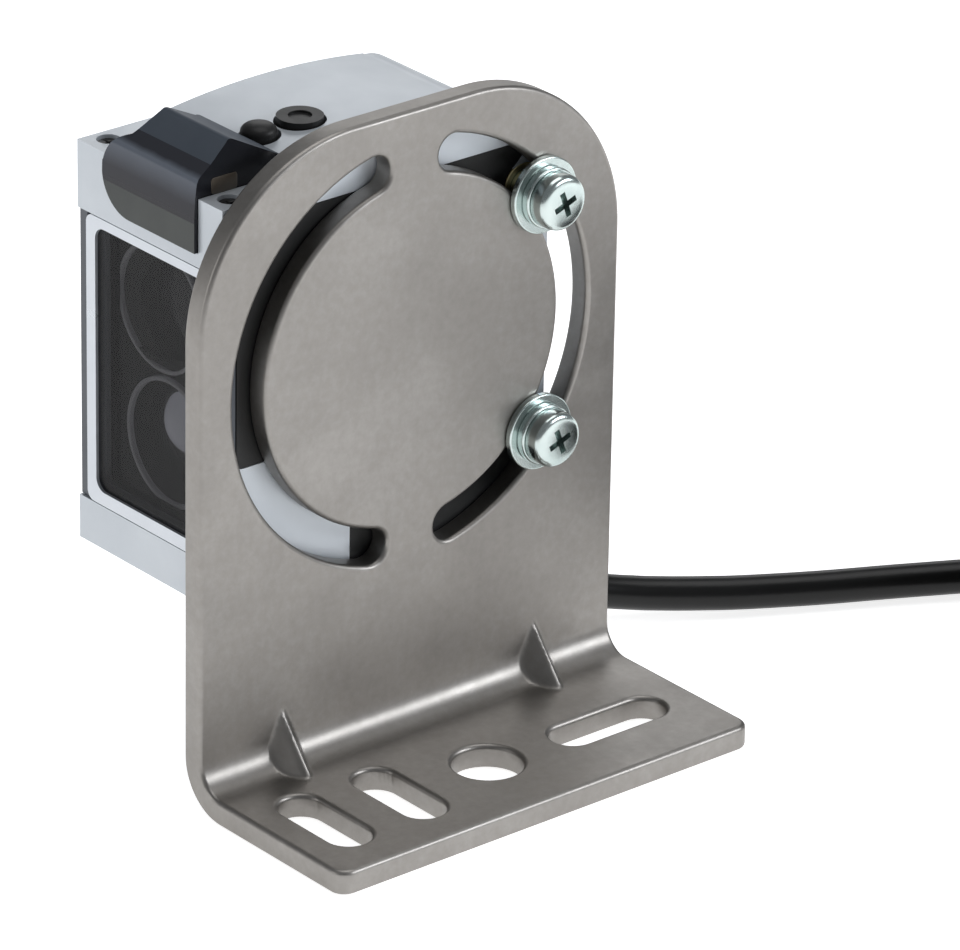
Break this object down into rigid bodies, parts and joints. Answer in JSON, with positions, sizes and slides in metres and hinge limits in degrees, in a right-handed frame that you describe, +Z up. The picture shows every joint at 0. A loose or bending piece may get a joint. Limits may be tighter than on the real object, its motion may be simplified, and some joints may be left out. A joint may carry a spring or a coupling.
{
  "type": "photoelectric sensor",
  "caption": "Box-shaped photoelectric sensor clamped to a slotted steel angle bracket, with a top display, set button, arrow key and a coiled cable.",
  "frame": {"origin": "centre of the round hole in the bracket's foot, on the foot's underside", "axes": "+Z up the bracket's upright plate, +X from the upright plate towards the foot's free edge, -Y the way the sensor looks"},
  "size_m": [0.1034, 0.147, 0.08],
  "materials": {
    "bracket_steel": "matt stainless sheet, tumbled, with softly rounded edges",
    "zinc": "pale zinc plating",
    "die_cast": "satin silver die-casting",
    "seal_rubber": "matt black seal",
    "smoked_window": "smoked filter window, gloss",
    "dark_trim": "dark grey satin plastic",
    "black_plastic": "matt black plastic",
    "insert_brass": "turned brass",
    "black_screw": "blackened steel",
    "display_plastic": "slate grey satin plastic with a glossy dark front",
    "board": "green circuit board",
    "display_panel": "dark display panel, unlit",
    "amber_led": "amber indicator, unlit",
    "switch_plastic": "small tactile switch",
    "button_plastic": "matt black button",
    "clear_lens": "clear moulded lens",
    "chip": "dark sensor chip",
    "connector_plastic": "cream connector body",
    "ribbon_film": "amber flexible circuit",
    "cable_jacket": "matt black oil-resistant jacket",
    "tie_plastic": "black releasable tie",
    "wire_jacket": "coloured core insulation"
  },
  "bodies": {
    "base": {"bracket_plate": "bracket_steel", "bracket_bend": "bracket_steel", "bracket_foot": "bracket_steel", "cable_run": "cable_jacket", "cable_coil": "cable_jacket", "cable_tail": "cable_jacket", "coil_tie": "tie_plastic", "end_wires": "wire_jacket"},
    "sensor": {"clamp_screws": "zinc", "spring_washers": "zinc", "plain_washers": "zinc", "housing": "die_cast", "front_bezel": "die_cast", "window_gasket": "seal_rubber", "front_window": "smoked_window", "edge_trims": "dark_trim", "side_plate_near": "black_plastic", "side_plate_far": "black_plastic", "thread_inserts": "insert_brass", "corner_screws": "black_screw", "display_cover": "display_plastic", "display_gasket": "seal_rubber", "display_board": "board", "display_module": "display_panel", "status_led": "amber_led", "button_switch": "switch_plastic", "button_seal": "seal_rubber", "rocker_switches": "switch_plastic", "rocker_seal": "seal_rubber", "rocker_pin": "zinc", "optics_chassis": "black_plastic", "emitter_lens": "clear_lens", "receiver_lens": "clear_lens", "laser_diode": "insert_brass", "light_baffle": "black_plastic", "receiver_chip": "chip", "receiver_board": "board", "main_board": "board", "board_connector": "connector_plastic", "ribbon": "ribbon_film", "rear_block": "black_plastic", "rear_gasket": "seal_rubber", "rear_screws": "zinc", "cable_gland": "cable_jacket", "cable_clamp": "zinc", "inner_wires": "wire_jacket", "cable_lead": "cable_jacket"},
    "set_button": {"set_button": "button_plastic"},
    "rocker_key": {"rocker_key": "button_plastic"}
  },
  "joints": [
    {"name": "sensor_tilt", "type": "hinge", "parent": "base", "child": "sensor", "pos_m": [-0.0311, 0, 0.05], "axis": [1, 0, 0], "range_deg": [-35, 35], "deforming": ["cable_lead"]},
    {"name": "set_button_press", "type": "slide", "parent": "sensor", "child": "set_button", "axis": [0, 0, -1], "range_m": [0, 0.0008], "stiffness_N_per_m": 1500, "springref_m": -0.0005},
    {"name": "rocker_key_tilt", "type": "hinge", "parent": "sensor", "child": "rocker_key", "pos_m": [-0.0311, -0.0037, 0.0734], "axis": [1, 0, 0], "range_deg": [-4, 4], "stiffness_Nm_per_rad": 0.02}
  ]
}
